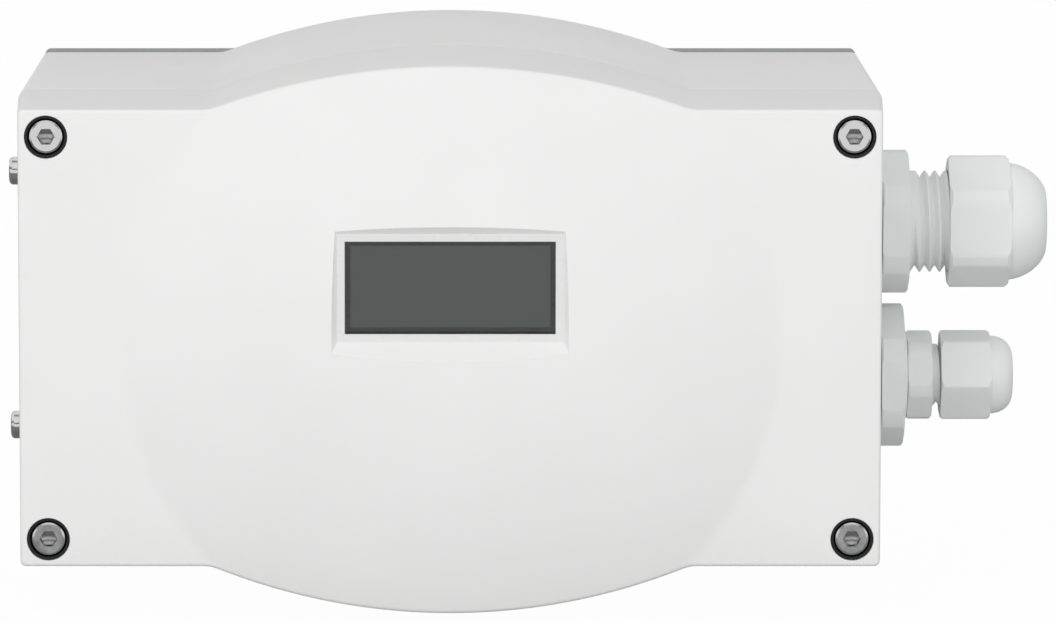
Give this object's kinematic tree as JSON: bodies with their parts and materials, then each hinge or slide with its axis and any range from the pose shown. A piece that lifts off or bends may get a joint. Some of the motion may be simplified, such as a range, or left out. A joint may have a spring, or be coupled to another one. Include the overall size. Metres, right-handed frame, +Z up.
{
  "type": "valve positioner",
  "caption": "Electropneumatic valve positioner: moulded box with domed cover and display window, cable glands on one side, air ports on the other, feedback shaft at the back.",
  "frame": {"origin": "on the feedback shaft's axis, in the rear face of the rear plate, where the actuator's mounting bracket sits", "axes": "+X towards the cable glands, +Y out of the rear face towards the actuator, +Z up; the display faces -Y"},
  "size_m": [0.2057, 0.1424, 0.1082],
  "materials": {
    "casing_plastic": "fine satin moulding",
    "gland_plastic": "satin polyamide",
    "dark_plate": "matt coating",
    "steel": "turned stainless steel",
    "aluminium": "blasted and anodised",
    "brass": "turned",
    "black_rubber": "matt",
    "display_glass": "clear with a dark border",
    "circuit_board": "solder mask",
    "dark_plastic": "satin",
    "button_plastic": "satin",
    "switch_red": "satin"
  },
  "bodies": {
    "casing": {"housing": "casing_plastic", "cover_gasket": "black_rubber", "rear_plate": "dark_plate", "rear_plate_screw_1": "steel", "rear_plate_screw_2": "steel", "rear_plate_screw_3": "steel", "rear_plate_screw_4": "steel", "shaft_bush": "brass", "shaft_seal": "black_rubber", "position_sensor": "dark_plastic", "sensor_bracket": "aluminium", "main_board": "circuit_board", "display_board": "circuit_board", "board_pillar_1": "brass", "board_pillar_2": "brass", "board_pillar_3": "brass", "board_pillar_4": "brass", "display_module": "dark_plastic", "keypad_frame": "dark_plastic", "terminal_strip": "gland_plastic", "switch_body": "switch_red", "valve_block": "aluminium", "pilot_valve_1": "dark_plastic", "pilot_valve_2": "dark_plastic", "port_plate": "aluminium", "port_gasket": "black_rubber", "port_screw_1": "steel", "port_screw_2": "steel", "gland_body_m20": "gland_plastic", "gland_washer_m20": "black_rubber", "lock_nut_m20": "gland_plastic", "reducer_m20_m12": "gland_plastic", "reducer_washer": "black_rubber", "reducer_lock_nut": "gland_plastic", "gland_ring_m12": "black_rubber", "gland_body_m12": "gland_plastic"},
    "cover": {"cover": "casing_plastic", "window_glass": "display_glass"},
    "washer_1": {"screw_washer_1": "dark_plastic"},
    "washer_2": {"screw_washer_2": "dark_plastic"},
    "washer_3": {"screw_washer_3": "dark_plastic"},
    "washer_4": {"screw_washer_4": "dark_plastic"},
    "screw_1": {"cover_screw_1": "steel"},
    "screw_2": {"cover_screw_2": "steel"},
    "screw_3": {"cover_screw_3": "steel"},
    "screw_4": {"cover_screw_4": "steel"},
    "shaft": {"feedback_shaft": "steel", "shaft_gear": "button_plastic", "shaft_clip": "steel"},
    "sensor": {"sensor_pinion": "button_plastic"},
    "button_1": {"push_button_1": "button_plastic"},
    "button_2": {"push_button_2": "button_plastic"},
    "button_3": {"push_button_3": "button_plastic"},
    "button_4": {"push_button_4": "button_plastic"},
    "slider_1": {"switch_slider_1": "button_plastic"},
    "slider_2": {"switch_slider_2": "button_plastic"},
    "m20_insert": {"seal_insert_m20": "black_rubber"},
    "m20_nut": {"cap_nut_m20": "gland_plastic"},
    "m12_insert": {"seal_insert_m12": "black_rubber"},
    "m12_nut": {"cap_nut_m12": "gland_plastic"}
  },
  "joints": [
    {"name": "cover_lift", "type": "slide", "parent": "casing", "child": "cover", "axis": [0, -1, 0], "range_m": [0, 0.14]},
    {"name": "screw_1_travel", "type": "slide", "parent": "cover", "child": "washer_1", "axis": [0, -1, 0], "range_m": [0, 0.0091]},
    {"name": "screw_1_turn", "type": "hinge", "parent": "washer_1", "child": "screw_1", "pos_m": [-0.0774, -0.1099, 0.039], "axis": [0, -1, 0], "range_deg": [0, 4680]},
    {"name": "screw_2_travel", "type": "slide", "parent": "cover", "child": "washer_2", "axis": [0, -1, 0], "range_m": [0, 0.0091]},
    {"name": "screw_2_turn", "type": "hinge", "parent": "washer_2", "child": "screw_2", "pos_m": [0.0774, -0.1099, 0.039], "axis": [0, -1, 0], "range_deg": [0, 4680]},
    {"name": "screw_3_travel", "type": "slide", "parent": "cover", "child": "washer_3", "axis": [0, -1, 0], "range_m": [0, 0.0091]},
    {"name": "screw_3_turn", "type": "hinge", "parent": "washer_3", "child": "screw_3", "pos_m": [-0.0774, -0.1099, -0.039], "axis": [0, -1, 0], "range_deg": [0, 4680]},
    {"name": "screw_4_travel", "type": "slide", "parent": "cover", "child": "washer_4", "axis": [0, -1, 0], "range_m": [0, 0.0091]},
    {"name": "screw_4_turn", "type": "hinge", "parent": "washer_4", "child": "screw_4", "pos_m": [0.0774, -0.1099, -0.039], "axis": [0, -1, 0], "range_deg": [0, 4680]},
    {"name": "shaft_turn", "type": "hinge", "parent": "casing", "child": "shaft", "pos_m": [0, 0, 0], "axis": [0, 1, 0], "range_deg": [-50, 50]},
    {"name": "sensor_turn", "type": "hinge", "parent": "casing", "child": "sensor", "pos_m": [0.03375, -0.035, 0], "axis": [0, 1, 0], "range_deg": [-101, 101]},
    {"name": "button_1_press", "type": "slide", "parent": "casing", "child": "button_1", "axis": [0, 1, 0], "range_m": [0, 0.0008], "stiffness_N_per_m": 1200, "springref_m": -0.0003},
    {"name": "button_2_press", "type": "slide", "parent": "casing", "child": "button_2", "axis": [0, 1, 0], "range_m": [0, 0.0008], "stiffness_N_per_m": 1200, "springref_m": -0.0003},
    {"name": "button_3_press", "type": "slide", "parent": "casing", "child": "button_3", "axis": [0, 1, 0], "range_m": [0, 0.0008], "stiffness_N_per_m": 1200, "springref_m": -0.0003},
    {"name": "button_4_press", "type": "slide", "parent": "casing", "child": "button_4", "axis": [0, 1, 0], "range_m": [0, 0.0008], "stiffness_N_per_m": 1200, "springref_m": -0.0003},
    {"name": "slider_1_slide", "type": "slide", "parent": "casing", "child": "slider_1", "axis": [0, 0, 1], "range_m": [0, 0.002]},
    {"name": "slider_2_slide", "type": "slide", "parent": "casing", "child": "slider_2", "axis": [0, 0, 1], "range_m": [0, 0.002]},
    {"name": "m20_travel", "type": "slide", "parent": "casing", "child": "m20_insert", "axis": [1, 0, 0], "range_m": [-0.00452, 0.00452]},
    {"name": "m20_turn", "type": "hinge", "parent": "m20_insert", "child": "m20_nut", "pos_m": [0.09875, -0.0535, 0.0154], "axis": [1, 0, 0], "range_deg": [-810, 810]},
    {"name": "m12_travel", "type": "slide", "parent": "casing", "child": "m12_insert", "axis": [1, 0, 0], "range_m": [-0.00152, 0.00302]},
    {"name": "m12_turn", "type": "hinge", "parent": "m12_insert", "child": "m12_nut", "pos_m": [0.0975, -0.0535, -0.0154], "axis": [1, 0, 0], "range_deg": [-360, 720]}
  ],
  "couplings": [
    {"joint": "screw_1_turn", "follows": "screw_1_travel", "rad_per_m": 8975.9},
    {"joint": "screw_2_turn", "follows": "screw_2_travel", "rad_per_m": 8975.9},
    {"joint": "screw_3_turn", "follows": "screw_3_travel", "rad_per_m": 8975.9},
    {"joint": "screw_4_turn", "follows": "screw_4_travel", "rad_per_m": 8975.9},
    {"joint": "m20_travel", "follows": "m20_turn", "m_per_rad": 0.00031831},
    {"joint": "m12_travel", "follows": "m12_turn", "m_per_rad": 0.00023873},
    {"joint": "sensor_turn", "follows": "shaft_turn", "ratio": -2}
  ]
}
